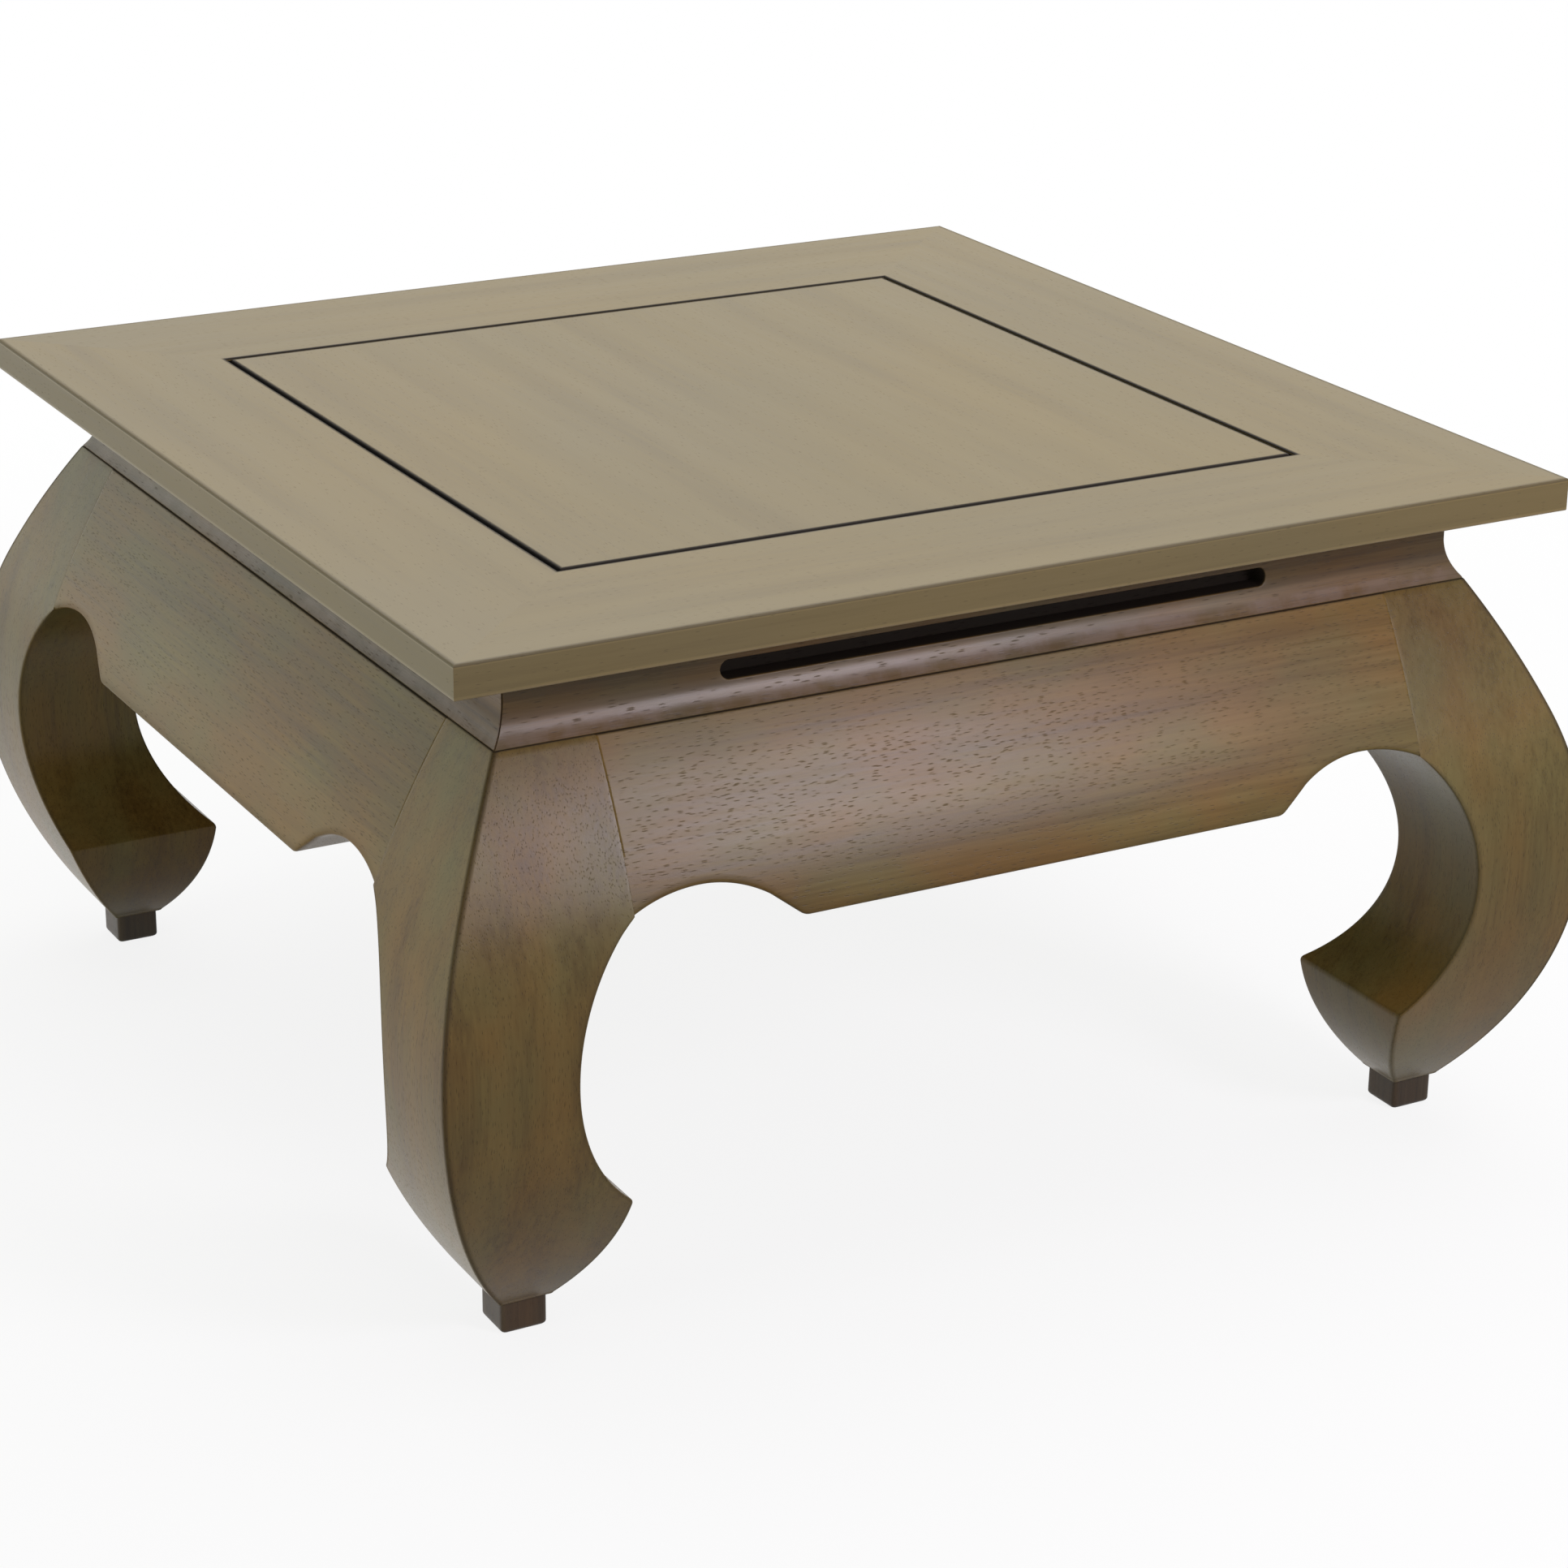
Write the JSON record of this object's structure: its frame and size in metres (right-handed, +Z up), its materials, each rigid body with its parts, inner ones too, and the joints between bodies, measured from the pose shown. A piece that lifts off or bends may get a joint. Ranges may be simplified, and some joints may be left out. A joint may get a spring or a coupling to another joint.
{
  "type": "coffee table",
  "caption": "Square low table with a framed panel top, a slotted coved waist, bulging aprons with scalloped arches, and curved legs with inward hoof feet on small square pads.",
  "frame": {"origin": "on the floor, under the middle of the table", "axes": "+Z up; -Y is the side that faces the camera's right in the picture, with the waist slot in view; +X to the right of it"},
  "size_m": [0.844, 0.844, 0.46],
  "materials": {
    "top_frame_wood": "satin lacquer over a grey-brown stain, open pores",
    "top_panel_wood": "satin lacquer over a grey-brown stain, open pores",
    "waist_wood": "satin lacquer over a brown stain, open pores",
    "apron_wood": "satin lacquer over a brown stain, open pores",
    "leg_wood": "satin lacquer over a brown stain, open pores",
    "foot_pad_wood": "dark stain, satin lacquer",
    "batten_wood": "plain planed wood, unfinished",
    "spline_wood": "plain wood, unfinished"
  },
  "bodies": {
    "root": {"top_frame_front": "top_frame_wood", "top_frame_back": "top_frame_wood", "top_frame_left": "top_frame_wood", "top_frame_right": "top_frame_wood", "top_panel": "top_panel_wood", "panel_batten_front": "batten_wood", "panel_batten_back": "batten_wood", "waist_front": "waist_wood", "waist_back": "waist_wood", "waist_left": "waist_wood", "waist_right": "waist_wood", "corner_block_front_left": "batten_wood", "corner_block_front_right": "batten_wood", "corner_block_back_left": "batten_wood", "corner_block_back_right": "batten_wood", "apron_front": "apron_wood", "apron_back": "apron_wood", "apron_left": "apron_wood", "apron_right": "apron_wood", "leg_front_left": "leg_wood", "leg_front_right": "leg_wood", "leg_back_left": "leg_wood", "leg_back_right": "leg_wood", "foot_pad_front_left": "foot_pad_wood", "foot_pad_front_right": "foot_pad_wood", "foot_pad_back_left": "foot_pad_wood", "foot_pad_back_right": "foot_pad_wood", "mitre_splines": "spline_wood"}
  },
  "joints": []
}
